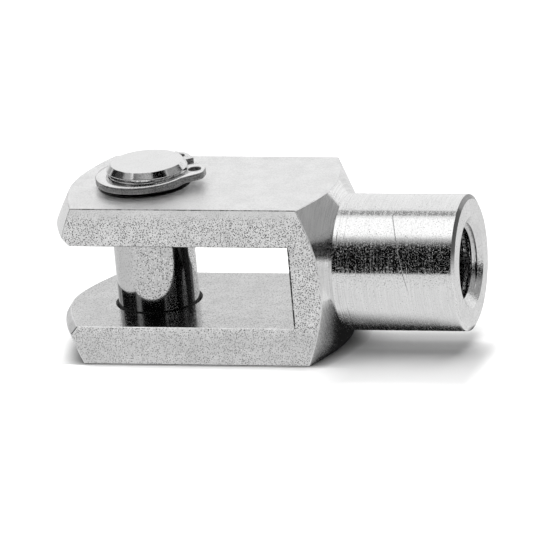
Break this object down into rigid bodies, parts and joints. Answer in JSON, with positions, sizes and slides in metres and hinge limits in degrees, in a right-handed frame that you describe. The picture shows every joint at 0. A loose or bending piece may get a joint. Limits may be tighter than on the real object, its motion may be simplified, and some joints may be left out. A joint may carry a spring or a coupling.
{
  "type": "clevis rod end",
  "caption": "Square steel fork head on a round internally threaded neck, with a clevis pin through its two cheeks held by a retaining ring.",
  "frame": {"origin": "on the clevis pin's axis, half way between the two cheeks", "axes": "+X along the neck towards its threaded end, +Z along the pin towards the retaining ring, +Y across the fork"},
  "size_m": [0.0617, 0.024, 0.0273],
  "materials": {
    "fork_steel": "bright steel: milled flats with a fine grain, turned neck",
    "pin_steel": "ground bright steel",
    "ring_steel": "stamped spring steel, darker on its edge"
  },
  "bodies": {
    "fork": {"clevis_fork": "fork_steel"},
    "pin": {"clevis_pin": "pin_steel", "retaining_ring": "ring_steel"}
  },
  "joints": [
    {"name": "pin_spin", "type": "hinge", "parent": "fork", "child": "pin", "pos_m": [0, 0, 0], "axis": [0, 0, 1], "continuous": true}
  ]
}
